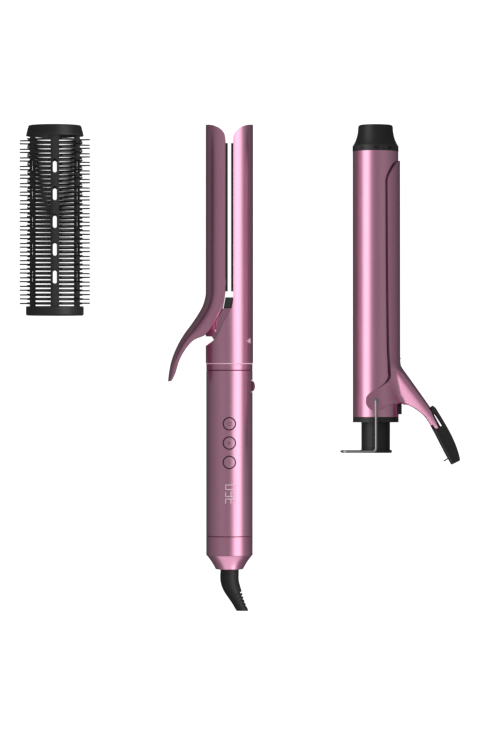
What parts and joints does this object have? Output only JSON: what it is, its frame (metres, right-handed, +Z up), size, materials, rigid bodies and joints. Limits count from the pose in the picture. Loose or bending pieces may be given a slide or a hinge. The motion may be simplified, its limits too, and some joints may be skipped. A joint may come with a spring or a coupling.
{
  "type": "hair styling set",
  "caption": "Three-piece hair styling set laid flat: slip-on brush sleeve, hair straightener on a corded handle, and a curling barrel with clip and wire stand.",
  "frame": {"origin": "on the table, at the middle of the laid-out set", "axes": "+Z up, +Y along the tools toward their hot ends, +X from the brush sleeve to the curling barrel"},
  "size_m": [0.3076, 0.3401, 0.0507],
  "materials": {
    "rose_metal": "satin metallic rose paint over fine brushed grain",
    "rose_accent": "deeper rose, satin",
    "black_plastic": "heat-proof black moulding, fine texture",
    "brush_plastic": "black moulding, soft sheen",
    "plate_coating": "black ceramic coating",
    "ceramic": "fired ceramic",
    "steel": "drawn steel wire",
    "brass": "spring brass",
    "circuit_board": "solder mask",
    "components": "moulded components",
    "display_white": "pale rose-white marking",
    "boot_rubber": "soft black rubber"
  },
  "bodies": {
    "handle": {"handle_collar": "rose_metal", "display_digits": "display_white", "handle_front_shell": "rose_metal", "handle_rear_shell": "rose_metal", "handle_screws": "steel", "inner_chassis": "black_plastic", "control_board": "circuit_board", "board_parts": "components", "display_module": "components", "tact_switches": "components", "button_rings": "rose_accent", "socket_guide": "black_plastic", "socket_base": "black_plastic", "socket_contacts": "brass", "latch_spring": "steel", "tail_band": "rose_metal", "slip_contacts": "brass", "tail_cap": "rose_metal"},
    "power_key": {"power_button": "rose_metal"},
    "plus_key": {"plus_button": "rose_metal"},
    "minus_key": {"minus_button": "rose_metal"},
    "release": {"release_button": "rose_metal", "latch_slider": "black_plastic"},
    "cord_exit": {"swivel_bush": "black_plastic", "cord_boot": "boot_rubber"},
    "straightener_head": {"head_housing": "rose_metal", "lock_mark": "display_white", "hinge_cheeks": "rose_metal", "hinge_pin": "steel", "guard_block": "black_plastic", "fixed_plate": "plate_coating", "fixed_plate_carrier": "black_plastic", "fixed_heater": "ceramic", "head_plug": "black_plastic", "head_contacts": "brass"},
    "clamp": {"clamp_arm": "rose_metal", "moving_plate": "plate_coating", "moving_plate_carrier": "black_plastic", "moving_heater": "ceramic"},
    "brush_sleeve": {"brush_cage": "brush_plastic", "brush_top_collar": "brush_plastic", "brush_bottom_ring": "brush_plastic", "brush_bristles": "brush_plastic"},
    "curling_barrel": {"barrel_tube": "rose_metal", "tip_band": "black_plastic", "cool_tip": "black_plastic", "barrel_heater": "ceramic", "barrel_plug": "black_plastic", "barrel_contacts": "brass", "pivot_bushes": "steel", "spring_block": "black_plastic", "clip_spring": "steel"},
    "clip": {"clip_lever": "rose_metal", "thumb_tip": "black_plastic"},
    "stand": {"stand_wire": "steel"}
  },
  "joints": [
    {"name": "power_press", "type": "slide", "parent": "handle", "child": "power_key", "axis": [0, 0, -1], "range_m": [0, 0.0005], "stiffness_N_per_m": 500},
    {"name": "plus_press", "type": "slide", "parent": "handle", "child": "plus_key", "axis": [0, 0, -1], "range_m": [0, 0.0005], "stiffness_N_per_m": 500},
    {"name": "minus_press", "type": "slide", "parent": "handle", "child": "minus_key", "axis": [0, 0, -1], "range_m": [0, 0.0005], "stiffness_N_per_m": 500},
    {"name": "release_press", "type": "slide", "parent": "handle", "child": "release", "axis": [-1, 0, 0], "range_m": [0, 0.0012], "stiffness_N_per_m": 1200, "deforming": ["latch_spring"]},
    {"name": "cord_swivel", "type": "hinge", "parent": "handle", "child": "cord_exit", "pos_m": [-0.0074, -0.137, 0.0166], "axis": [0, 1, 0], "continuous": true},
    {"name": "head_pull", "type": "slide", "parent": "handle", "child": "straightener_head", "axis": [0, 1, 0], "range_m": [0, 0.035]},
    {"name": "clamp_open", "type": "hinge", "parent": "straightener_head", "child": "clamp", "pos_m": [-0.0167, 0.0224, 0.0166], "axis": [0, 0, 1], "range_deg": [-0.8, 22], "stiffness_Nm_per_rad": 1.2},
    {"name": "brush_lift", "type": "slide", "parent": "handle", "child": "brush_sleeve", "axis": [0, 0, 1], "range_m": [0, 0.12]},
    {"name": "barrel_lift", "type": "slide", "parent": "handle", "child": "curling_barrel", "axis": [0, 0, 1], "range_m": [0, 0.12]},
    {"name": "clip_open", "type": "hinge", "parent": "curling_barrel", "child": "clip", "pos_m": [0.0945, -0.023, 0.0192], "axis": [0, -0.0174, -0.9998], "range_deg": [0, 25], "stiffness_Nm_per_rad": 0.8},
    {"name": "stand_fold", "type": "hinge", "parent": "curling_barrel", "child": "stand", "pos_m": [0.0945, -0.023, 0.0192], "axis": [0, -0.0174, -0.9998], "range_deg": [0, 95]}
  ]
}
